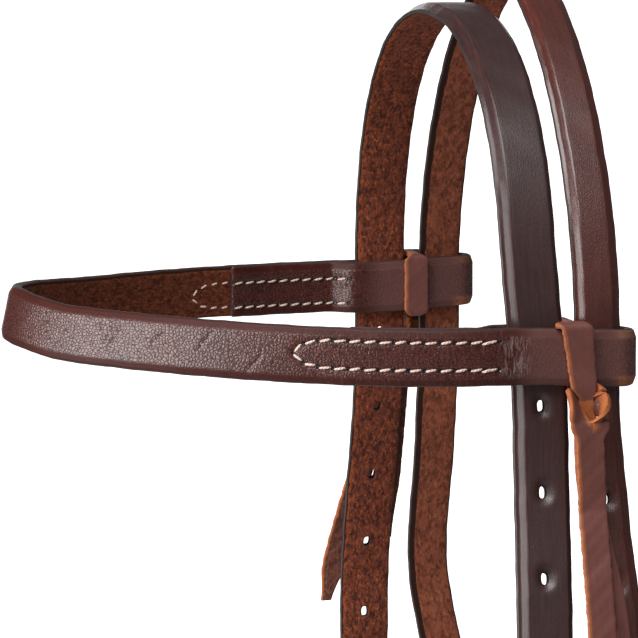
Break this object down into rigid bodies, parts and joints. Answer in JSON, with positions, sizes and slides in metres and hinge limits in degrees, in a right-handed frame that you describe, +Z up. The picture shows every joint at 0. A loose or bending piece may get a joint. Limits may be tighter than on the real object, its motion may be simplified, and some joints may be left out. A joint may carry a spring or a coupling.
{
  "type": "western headstall",
  "caption": "Brown leather western browband headstall: crown strap, throatlatch, folded-loop browband tied with latigo laces, buckled cheeks and screw-fastened bit loops.",
  "frame": {"origin": "middle of the crown strap's underside, where the headstall hangs on the horse's poll", "axes": "+X the horse's left (near side), -Y the horse's front, +Z up"},
  "size_m": [0.2568, 0.2399, 0.4914],
  "materials": {
    "crown_leather": "dark oiled leather, near black-brown, soft sheen, raw tan flesh side",
    "throat_leather": "chestnut-red oiled leather with dark burnished edges",
    "browband_leather": "pebbled brown leather, doubled and stitched in cream thread",
    "latigo_lace": "soft latigo lace, brown grain and raw orange cut edges",
    "stainless_steel": "satin stainless steel"
  },
  "bodies": {
    "headstall": {"crown_strap": "crown_leather", "throatlatch_strap": "throat_leather", "near_cheek_strap": "crown_leather", "far_cheek_strap": "crown_leather", "near_cheek_fixed_keeper": "crown_leather", "far_cheek_fixed_keeper": "crown_leather", "throat_fixed_keeper": "throat_leather", "near_lower_bit_post": "stainless_steel", "near_lower_bit_screw": "stainless_steel", "near_upper_bit_post": "stainless_steel", "near_upper_bit_screw": "stainless_steel", "far_lower_bit_post": "stainless_steel", "far_lower_bit_screw": "stainless_steel", "far_upper_bit_post": "stainless_steel", "far_upper_bit_screw": "stainless_steel"},
    "browband_unit": {"browband": "browband_leather", "near_browband_lace": "latigo_lace", "far_browband_lace": "latigo_lace"},
    "near_cheek_buckle": {"near_cheek_buckle_frame": "stainless_steel"},
    "near_cheek_tongue": {"near_cheek_buckle_tongue": "stainless_steel"},
    "near_cheek_keeper": {"near_cheek_sliding_keeper": "crown_leather"},
    "far_cheek_buckle": {"far_cheek_buckle_frame": "stainless_steel"},
    "far_cheek_tongue": {"far_cheek_buckle_tongue": "stainless_steel"},
    "far_cheek_keeper": {"far_cheek_sliding_keeper": "crown_leather"},
    "throat_buckle": {"throat_buckle_frame": "stainless_steel"},
    "throat_tongue": {"throat_buckle_tongue": "stainless_steel"},
    "throat_keeper": {"throat_sliding_keeper": "throat_leather"}
  },
  "joints": [
    {"name": "browband_slide", "type": "slide", "parent": "headstall", "child": "browband_unit", "axis": [0, 0, 1], "range_m": [-0.008, 0.004]},
    {"name": "near_cheek_buckle_tip", "type": "hinge", "parent": "headstall", "child": "near_cheek_buckle", "pos_m": [0.1143, 0, -0.274], "axis": [0, 1, 0], "range_deg": [0, 1]},
    {"name": "near_cheek_tongue_swing", "type": "hinge", "parent": "near_cheek_buckle", "child": "near_cheek_tongue", "pos_m": [0.1143, 0, -0.274], "axis": [0, 1, 0], "range_deg": [0, 2]},
    {"name": "near_cheek_keeper_slide", "type": "slide", "parent": "headstall", "child": "near_cheek_keeper", "axis": [0, 0, -1], "range_m": [-0.008, 0.055]},
    {"name": "far_cheek_buckle_tip", "type": "hinge", "parent": "headstall", "child": "far_cheek_buckle", "pos_m": [-0.1143, 0, -0.274], "axis": [0, -1, 0], "range_deg": [0, 1]},
    {"name": "far_cheek_tongue_swing", "type": "hinge", "parent": "far_cheek_buckle", "child": "far_cheek_tongue", "pos_m": [-0.1143, 0, -0.274], "axis": [0, -1, 0], "range_deg": [0, 2]},
    {"name": "far_cheek_keeper_slide", "type": "slide", "parent": "headstall", "child": "far_cheek_keeper", "axis": [0, 0, -1], "range_m": [-0.008, 0.055]},
    {"name": "throat_buckle_tip", "type": "hinge", "parent": "headstall", "child": "throat_buckle", "pos_m": [0.1125, 0.04023, -0.27653], "axis": [0, 0.9806, 0.1959], "range_deg": [0, 2]},
    {"name": "throat_tongue_swing", "type": "hinge", "parent": "throat_buckle", "child": "throat_tongue", "pos_m": [0.1125, 0.04023, -0.27653], "axis": [0, 0.9806, 0.1959], "range_deg": [0, 3]},
    {"name": "throat_keeper_slide", "type": "slide", "parent": "headstall", "child": "throat_keeper", "axis": [0, 0.1959, -0.9806], "range_m": [-0.008, 0.014]}
  ]
}
